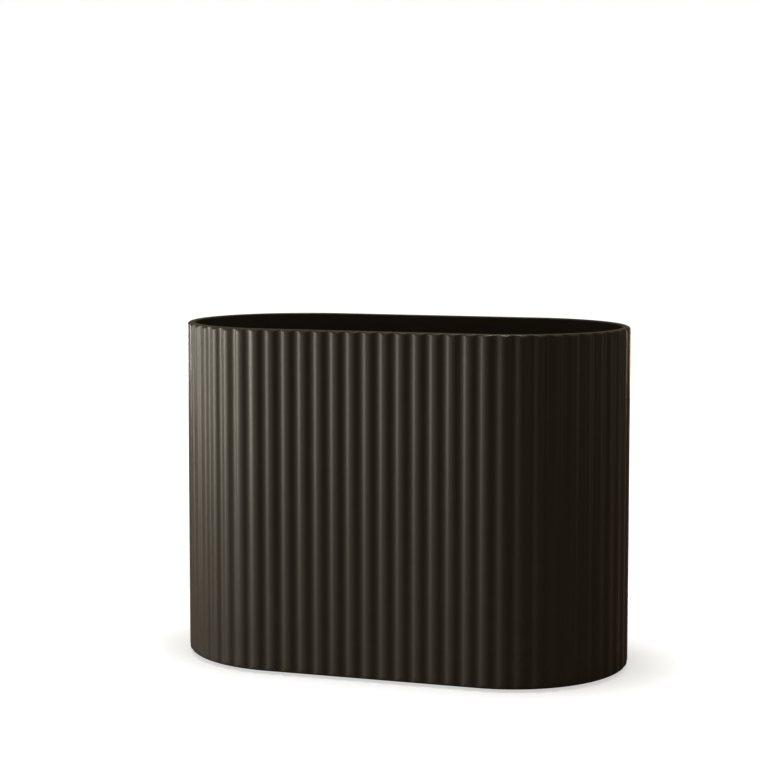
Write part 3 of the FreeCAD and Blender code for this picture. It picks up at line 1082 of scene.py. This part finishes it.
@dataclass
class FootPads:
    """Four round non-slip pads with a grip ring in each underside."""

    radius: float = 8.0 * MM
    height: float = 2.0 * MM
    edge_round: float = 0.5 * MM
    ring_outer: float = 4.6 * MM
    ring_inner: float = 3.4 * MM
    ring_depth: float = 0.5 * MM
    ring_round: float = 0.15 * MM
    steps: int = 16
    finish: MouldedFinish = PAD_FINISH

    def profile(self) -> list[Level]:
        """Radius and height of each ring, from the middle of the underside to the top's edge.

        Returns:
            The levels in order.
        """
        small, deep = self.ring_round, self.ring_depth
        levels = arc_levels((self.ring_inner - small, small), small, -QUARTER, 0.0, 3)
        levels += [Level(self.ring_inner, deep), Level(self.ring_outer, deep)]
        levels += arc_levels((self.ring_outer + small, small), small, 2 * QUARTER, 3 * QUARTER, 3)
        edge = self.edge_round
        levels += arc_levels((self.radius - edge, edge), edge, -QUARTER, 0.0, 5)
        levels += arc_levels((self.radius - small, self.height - small), small, 0.0, QUARTER, 2)
        return levels

    def build(self, corner: str) -> bpy.types.Object:
        """Make one pad's mesh.

        Args:
            corner: which pad

        Returns:
            The new object.
        """
        maker = MeshMaker(f"pad_{corner}")
        rings = []
        for level in self.profile():
            outline = circle(PAD_PLACES[corner], level.reach, self.steps)
            rings.append(maker.flat_ring(outline, 0.0, level.height, level.exposure))
        maker.bands(rings)
        maker.cap(rings[0])
        maker.cap(rings[-1])
        return maker.finish()

    def dress(self, effects: SurfaceEffects) -> list[bpy.types.Object]:
        """Build the pads, finish them and put them in the frame.

        Args:
            effects: the shared effect groups

        Returns:
            The new pieces.
        """
        material = self.finish.material(effects)
        return [
            dress(self.build(corner), material, Body.BASE, f"foot_{corner}")
            for corner in PAD_PLACES
        ]


@dataclass
class DrainBasket:
    """Lift-out liner: pierced floor, guides for the dividers and a lift slot in each end."""

    outer_reach: float = 58.7 * MM
    inner_reach: float = 56.9 * MM
    bottom: float = 17.8 * MM
    top: float = 164.0 * MM
    floor: float = 2.0 * MM
    base_round: float = 0.8 * MM
    inner_round: float = 1.5 * MM
    rim_round: float = 0.7 * MM
    guide_gap: float = 1.4 * MM
    guide_width: float = 1.6 * MM
    guide_depth: float = 3.4 * MM
    guide_round: float = 0.4 * MM
    guide_top: float = 156.0 * MM
    hole_radius: float = 3.0 * MM
    hole_pitch: float = 14.0 * MM
    hole_limit: float = 49.9 * MM
    hole_round: float = 0.4 * MM
    hole_round_middle: float = 0.116 * MM
    hole_steps: int = 5
    foot_clearance: float = 4.4 * MM
    slot_width: float = 34.0 * MM
    slot_height: float = 13.0 * MM
    slot_level: float = 148.0 * MM
    slot_round: float = 0.6 * MM
    slot_margin: float = 3.0 * MM
    slot_exposure: float = 0.5
    weld_distance: float = 0.001 * MM
    end_steps: int = 72
    side_steps: int = 24
    finish: MouldedFinish = INSERT_FINISH

    def side_places(self) -> list[tuple[float, float]]:
        """Lines of one side, with those of the guides standing in from the wall.

        Returns:
            Distance along the side and inset of each line.
        """
        half, deep, small = PLAN.half_straight, self.guide_depth, self.guide_round
        guides = []
        for sign in (-1, 1):
            middle = half + sign * DIVIDER_OFFSET
            for start in (middle - self.guide_gap - self.guide_width, middle + self.guide_gap):
                end = start + self.guide_width
                guides.append((start, end))
        lines = []
        for along in spread(0.0, 2 * half, self.side_steps)[:-1]:
            if not any(start - small < along < end + small for start, end in guides):
                lines.append((along, 0.0))
        for start, end in guides:
            rounding = small * (1 - math.sqrt(0.5))
            lines += [(start, 0.0), (start, deep - small), (start + rounding, deep - rounding)]
            lines += [(start + small, deep), (end - small, deep)]
            lines += [(end - rounding, deep - rounding), (end, deep - small), (end, 0.0)]
        order = {line: number for number, line in enumerate(lines)}
        return sorted(lines, key=lambda line: (line[0], order[line]))

    def columns(self) -> list[Column]:
        """Lines of the basket's wall, in order."""
        ends = [(angle, 0.0) for angle in spread(0.0, math.pi, self.end_steps)[:-1]]
        return PLAN.columns(self.side_places(), ends)

    def outer_levels(self) -> list[Level]:
        """Rings of the outside, from the underside's edge to the rim.

        Returns:
            The levels in order.
        """
        base, rim, reach = self.base_round, self.rim_round, self.outer_reach
        levels = arc_levels((reach - base, self.bottom + base), base, -QUARTER, 0.0, 4)
        levels += [Level(reach, height) for height in self.slot_band()]
        levels += arc_levels((reach - rim, self.top - rim), rim, 0.0, QUARTER, 4)
        return levels

    def slot_band(self) -> Flat:
        """Heights between which the wall is left open round the lift slots."""
        reach = self.slot_height / 2 + self.slot_margin
        return self.slot_level - reach, self.slot_level + reach

    def inner_levels(self) -> list[tuple[Level, bool]]:
        """Rings of the inside, from the rim to the floor's edge.

        Returns:
            Each level, and whether the guides stand out at it.
        """
        rim, reach, well = self.rim_round, self.inner_reach, self.inner_round
        low, high = self.slot_band()
        rounds = arc_levels((reach + rim, self.top - rim), rim, QUARTER, 2 * QUARTER, 4)
        levels = [(level, False) for level in rounds]
        levels += [(Level(reach, high), False), (Level(reach, self.guide_top), False)]
        levels += [(Level(reach, self.guide_top), True), (Level(reach, low), True)]
        floor = self.bottom + self.floor
        rounds = arc_levels((reach - well, floor + well), well, 0.0, -QUARTER, 5, exposure=0.0)
        levels += [(level, True) for level in rounds]
        return levels

    def slot_faces(self, columns: list[Column]) -> set[int]:
        """Numbers of the wall's faces that the lift slots take the place of.

        Args:
            columns: lines of the wall

        Returns:
            Numbers of the lines that such a face starts at.
        """
        open_reach = self.slot_width / 2 + self.slot_margin
        numbers = set()
        count = len(columns)
        for number, column in enumerate(columns):
            after = columns[(number + 1) % count]
            sides = [line.facing[1] * self.inner_reach for line in (column, after)]
            at_end = all(abs(line.anchor) >= PLAN.half_straight for line in (column, after))
            if at_end and max(abs(side) for side in sides) < open_reach:
                numbers.add(number)
        return numbers

    def build(self) -> bpy.types.Object:
        """Make the basket's mesh.

        Returns:
            The new object.
        """
        maker = MeshMaker("drain_liner")
        columns = self.columns()
        rings, heights = [], []
        for level in self.outer_levels():
            rings.append(maker.wall_ring(columns, level))
            heights.append(level.height)
        outside_count = len(rings)
        for level, guided in self.inner_levels():
            insets = [column.inset if guided else 0.0 for column in columns]
            points = [
                column.at(level.reach - inset, level.height)
                for column, inset in zip(columns, insets)
            ]
            rings.append(maker.ring(points, level.exposure))
            heights.append(level.height)
        self.join_wall(maker, columns, rings, heights, outside_count)
        tops, bottoms = self.drain_holes(maker)
        maker.fill(rings[-1], tops, flat_plan)
        maker.fill(rings[0], bottoms, flat_plan)
        verts = maker.mesh.verts
        bmesh.ops.remove_doubles(maker.mesh, verts=verts, dist=self.weld_distance)
        return maker.finish()

    def join_wall(
        self,
        maker: MeshMaker,
        columns: list[Column],
        rings: list[list[BMVert]],
        heights: list[float],
        outside_count: int,
    ) -> None:
        """Join the wall's rings, leaving the lift slots open and lining them.

        Args:
            maker: mesh of the basket
            columns: lines of the wall
            rings: rings of the wall in order
            heights: height of each ring
            outside_count: number of rings on the outside
        """
        low, high = self.slot_band()
        open_faces = self.slot_faces(columns)
        opened = {True: [], False: []}
        for number, (first, second) in enumerate(zip(rings, rings[1:])):
            inside_band = all(low <= height <= high for height in heights[number:number + 2])
            maker.bridge(first, second, open_faces if inside_band else frozenset())
            if inside_band:
                opened[number < outside_count].append((first, second))
        for side in Side:
            self.lift_slot(maker, side, open_faces, columns, opened)

    def lift_slot(
        self,
        maker: MeshMaker,
        side: Side,
        open_faces: set[int],
        columns: list[Column],
        opened: dict[bool, list[tuple[list[BMVert], list[BMVert]]]],
    ) -> None:
        """Line one lift slot and fill the wall round it, inside and outside.

        Args:
            maker: mesh of the basket
            side: which end
            open_faces: numbers of the faces left out of the wall
            columns: lines of the wall
            opened: bands of rings that were left open, for the outside and the inside
        """
        outline = slot_outline((0.0, self.slot_level), self.slot_width, self.slot_height)
        small, count = self.slot_round, len(columns)
        rings = []
        for grow, reach, _ in thickness_steps(self.outer_reach, self.inner_reach, small):
            points = []
            for y, z in outline.loop(grow):
                x = side.value * (PLAN.half_straight + math.sqrt(reach**2 - y**2))
                points.append(Vector((x, y, z)))
            rings.append(maker.ring(points, self.slot_exposure if 0.0 < grow < small else 0.0))
        maker.bands(rings)
        lines = [line for line in sorted(open_faces) if columns[line].anchor * side.value > 0]
        lines.append(lines[-1] + 1)
        for outside, slot_ring in ((True, rings[0]), (False, rings[-1])):
            bands = {id(ring): ring for band in opened[outside] for ring in band}
            climb = sorted(bands.values(), key=lambda ring: ring[lines[0]].co.z)
            border = [climb[0][line % count] for line in lines]
            border += [ring[lines[-1] % count] for ring in climb[1:-1]]
            border += [climb[-1][line % count] for line in reversed(lines)]
            border += [ring[lines[0]] for ring in reversed(climb[1:-1])]
            maker.fill(border, [slot_ring], flat_end)

    def drain_holes(self, maker: MeshMaker) -> tuple[list[list[BMVert]], list[list[BMVert]]]:
        """Line the drain holes of the floor.

        Args:
            maker: mesh of the basket

        Returns:
            The holes' edges on the floor and those on the underside.
        """
        tops, bottoms = [], []
        small, halfway = self.hole_round, self.hole_round_middle
        steps = [(small, 0.0), (halfway, halfway), (0.0, small)]
        floor = self.bottom + self.floor
        levels = [(grow, floor - sink) for grow, sink in steps]
        levels += [(grow, self.bottom + sink) for grow, sink in reversed(steps)]
        for middle in self.hole_places():
            outline = circle(middle, self.hole_radius, self.hole_steps)
            rings = [maker.flat_ring(outline, grow, height) for grow, height in levels]
            maker.bands(rings)
            tops.append(rings[0])
            bottoms.append(rings[-1])
        return tops, bottoms

    def hole_places(self) -> list[Flat]:
        """Centres of the drain holes: a square grid, clear of the walls and of the dividers' feet.

        Returns:
            The centres in plan.
        """
        columns = int((PLAN.half_straight + self.hole_limit) / self.hole_pitch)
        rows = int(self.hole_limit / self.hole_pitch)
        places = []
        for column in range(-columns, columns + 1):
            for row in range(-rows, rows + 1):
                x, y = column * self.hole_pitch, row * self.hole_pitch
                reach = math.hypot(max(abs(x) - PLAN.half_straight, 0.0), y)
                under_divider = abs(abs(x) - DIVIDER_OFFSET) < self.foot_clearance
                if reach < self.hole_limit and not under_divider:
                    places.append((x, y))
        return places

    def dress(self, effects: SurfaceEffects) -> list[bpy.types.Object]:
        """Build the basket, finish it and put it in the frame."""
        material = self.finish.material(effects)
        return [dress(self.build(), material, Body.BASKET, "drain_basket")]


@dataclass
class Dividers:
    """Two upright plates that slide into the basket's guides."""

    half_thickness: float = 1.1 * MM
    half_width: float = 56.6 * MM
    bottom: float = 19.8 * MM
    top: float = 159.0 * MM
    top_corner: float = 9.0 * MM
    bottom_corner: float = 1.8 * MM
    corner_steps: int = 8
    edge_round: float = 0.6 * MM
    slot_width: float = 38.0 * MM
    slot_height: float = 14.0 * MM
    slot_level: float = 141.0 * MM
    slot_steps: int = 10
    finish: MouldedFinish = INSERT_FINISH

    def edge_rings(
        self, maker: MeshMaker, outline: Outline, middle: float, outward: int
    ) -> list[list[BMVert]]:
        """Line an edge of the plate from one face to the other, with both corners rounded.

        Args:
            maker: mesh of the plate
            outline: the edge's outline
            middle: the plate's place along X
            outward: 1 where the plate lies inside the outline, -1 where it lies outside

        Returns:
            The rings in order.
        """
        half = self.half_thickness
        rings = []
        for back, shift, angle in thickness_steps(-half, half, self.edge_round):
            loop = outline.loop(-outward * back)
            points = [Vector((middle + shift, y, z)) for y, z in loop]
            rings.append(maker.ring(points, math.sin(2 * angle)))
        maker.bands(rings)
        return rings

    def build(self, side: Side) -> bpy.types.Object:
        """Make one divider's mesh.

        Args:
            side: which divider

        Returns:
            The new object.
        """
        maker = MeshMaker(f"{side.name.lower()}_plate")
        middle = side.value * DIVIDER_OFFSET
        level = (self.bottom + self.top) / 2
        half = (self.half_width, (self.top - self.bottom) / 2)
        corners = (self.bottom_corner, self.top_corner)
        plate = Outline((0.0, level), half, *corners, self.corner_steps)
        slot_middle = (0.0, self.slot_level)
        slot = slot_outline(slot_middle, self.slot_width, self.slot_height, self.slot_steps)
        outer = self.edge_rings(maker, plate, middle, 1)
        inner = self.edge_rings(maker, slot, middle, -1)
        for end in (0, -1):
            maker.fill(outer[end], [inner[end]], flat_end)
        return maker.finish()

    def dress(self, effects: SurfaceEffects) -> list[bpy.types.Object]:
        """Build the dividers, finish them and put them in the frame.

        Args:
            effects: the shared effect groups

        Returns:
            The new pieces.
        """
        material = self.finish.material(effects)
        bodies = {Side.LEFT: Body.LEFT_DIVIDER, Side.RIGHT: Body.RIGHT_DIVIDER}
        return [
            dress(self.build(side), material, body, body.value)
            for side, body in bodies.items()
        ]


@dataclass(frozen=True)
class SoftLight:
    """One soft lamp of the studio, on a circle round the organizer and aimed at its middle."""

    name: str
    azimuth: float
    width: float
    power: float
    colour: Colour
    low: float = 0.0
    high: float = 0.17
    reach: float = 1.5
    target: tuple[float, float, float] = (0.0, 0.0, 0.1)

    def build(self) -> bpy.types.Object:
        """Put the lamp in the scene.

        Returns:
            The new lamp.
        """
        data = bpy.data.lights.new(self.name, "AREA")
        data.shape = "RECTANGLE"
        data.size = self.width
        data.size_y = self.high - self.low
        data.energy = self.power
        data.color = self.colour
        lamp = bpy.data.objects.new(self.name, data)
        turn = math.radians(self.azimuth)
        middle = (self.low + self.high) / 2
        lamp.location = (self.reach * math.sin(turn), -self.reach * math.cos(turn), middle)
        aim = Vector(self.target) - lamp.location
        lamp.rotation_euler = aim.to_track_quat("-Z", "Y").to_euler()
        lamp.visible_camera = False
        bpy.context.scene.collection.objects.link(lamp)
        return lamp


@dataclass
class Studio:
    """Plain pale floor, soft lamps and the camera of the photograph."""

    image_width: float = 767.0
    sensor_width: float = 36.0
    focal_pixels: float = 1966.2
    distance: float = 1.0470
    camera_height: float = 0.2571
    azimuth: float = math.radians(17.15)
    pitch: float = math.radians(4.858)
    pan: float = math.radians(0.6385)
    shift_pixels: float = 38.5
    view_depth: float = 100.0
    floor_half: float = 6.0
    floor_roughness: float = 0.9
    floor_colour: Colour = (0.74, 0.80, 0.90)
    bounce_colour: Colour = (0.14, 0.08, 0.02)
    near_glow: float = 0.58
    far_glow: float = 1.0
    glow_reach: Flat = (0.30, 1.0)
    ambient_colour: Colour = (1.0, 0.68, 0.28)
    world_light: float = 0.12
    world_gloss: float = 0.07
    lamps: tuple[SoftLight, ...] = (
        SoftLight("key_side", -75.0, 0.30, 11.4, (1.0, 0.90, 0.75)),
        SoftLight("key_corner", -55.0, 0.30, 4.9, (1.0, 0.99, 0.89)),
        SoftLight("front_left", -28.0, 0.55, 2.0, (1.0, 0.90, 0.76)),
        SoftLight("front_fill", -5.0, 0.30, 0.30, (0.85, 1.0, 1.0)),
        SoftLight("right_fill", 65.0, 0.80, 0.50, (0.95, 1.0, 0.90)),
        SoftLight("right_rear", 112.0, 0.60, 0.44, (1.0, 0.92, 0.72)),
        SoftLight("rear_left", -106.0, 0.30, 1.0, (0.98, 1.0, 0.96)),
        SoftLight("rear_right", 174.0, 0.40, 2.0, (1.0, 0.74, 0.46)),
        SoftLight("back_key", 222.0, 0.40, 2.8, (1.0, 0.96, 0.90)),
        SoftLight("overhead", 0.0, 0.40, 16.0, (1.0, 0.95, 0.86), 1.40, 1.80, reach=0.05),
    )

    def white_share(self, bench: NodeBench) -> bpy.types.NodeSocket:
        """How far a ray sees the white background instead of the studio's own light.

        Args:
            bench: bench over the tree of the floor or the world

        Returns:
            The share's output.
        """
        path = bench.add("ShaderNodeLightPath")
        through = path.outputs["Is Transmission Ray"]
        seen = bench.math("MAXIMUM", path.outputs["Is Camera Ray"], through)
        glossy = bench.times(path.outputs["Is Glossy Ray"], self.world_gloss)
        return bench.math("MAXIMUM", seen, glossy)

    def build_world(self) -> None:
        """White to the camera, dim to the object."""
        world = bpy.data.worlds.new("studio")
        world.use_nodes = True
        bpy.context.scene.world = world
        bench = NodeBench(world.node_tree)
        background = world.node_tree.nodes["Background"]
        share = self.white_share(bench)
        bench.join(bench.math("MAXIMUM", share, self.world_light), background.inputs["Strength"])
        colour = bench.blend(share, (*self.ambient_colour, 1.0), WHITE)
        bench.join(colour, background.inputs["Color"])

    def build_floor(self) -> None:
        """Lay a plain floor that keeps the object's shadow."""
        maker = bmesh.new()
        half = self.floor_half
        corners = [(-half, -half), (half, -half), (half, half), (-half, half)]
        maker.faces.new([maker.verts.new((x, y, 0.0)) for x, y in corners])
        data = bpy.data.meshes.new("studio_floor")
        maker.to_mesh(data)
        maker.free()
        floor = bpy.data.objects.new("studio_floor", data)
        bpy.context.scene.collection.objects.link(floor)
        data.materials.append(self.floor_material())

    def floor_material(self) -> bpy.types.Material:
        """Pale to the camera and white further off, dark to the light that the object gets back.

        Returns:
            The new material.
        """
        material = bpy.data.materials.new("pale_floor")
        material.use_nodes = True
        bench = NodeBench(material.node_tree)
        shader = material.node_tree.nodes["Principled BSDF"]
        shader.inputs["Roughness"].default_value = self.floor_roughness
        shader.inputs["Specular IOR Level"].default_value = 0.0
        shader.inputs["Emission Color"].default_value = WHITE
        share = self.white_share(bench)
        colour = bench.blend(share, (*self.bounce_colour, 1.0), (*self.floor_colour, 1.0))
        bench.join(colour, shader.inputs["Base Color"])
        away = bench.add("ShaderNodeVectorMath", operation="LENGTH")
        bench.join(bench.position(), away.inputs[0])
        far = bench.band(away.outputs["Value"], *self.glow_reach)
        rise = bench.times(far, self.far_glow - self.near_glow)
        glow = bench.math("ADD", self.near_glow, rise)
        bench.join(bench.times(share, glow), shader.inputs["Emission Strength"])
        return material

    def build_camera(self) -> None:
        """Put the camera where the photograph was taken from."""
        data = bpy.data.cameras.new("photo_camera")
        data.sensor_width = self.sensor_width
        data.lens = self.focal_pixels * self.sensor_width / self.image_width
        data.shift_y = -self.shift_pixels / self.image_width
        data.clip_end = self.view_depth
        camera = bpy.data.objects.new("photo_camera", data)
        side, front = math.sin(self.azimuth), -math.cos(self.azimuth)
        camera.location = (self.distance * side, self.distance * front, self.camera_height)
        camera.rotation_euler = (QUARTER - self.pitch, 0.0, self.azimuth + self.pan)
        bpy.context.scene.collection.objects.link(camera)
        bpy.context.scene.camera = camera

    def build(self) -> None:
        """Set up the whole studio."""
        bpy.context.scene.view_settings.view_transform = "Standard"
        self.build_world()
        self.build_floor()
        for lamp in self.lamps:
            lamp.build()
        self.build_camera()


def main() -> None:
    """Build the pieces in order, then the studio, and report each piece."""
    logging.basicConfig(level=logging.INFO, format="%(name)s: %(message)s")
    effects = SurfaceEffects(MouldedGrain(), EdgeWear(), SettledDust())
    for part in (FlutedShell(), DripTray(), FootPads(), DrainBasket(), Dividers()):
        for piece in part.dress(effects):
            log.info("%s: %d faces", piece.name, len(piece.data.polygons))
    Studio().build()


if __name__ == "__main__":
    main()
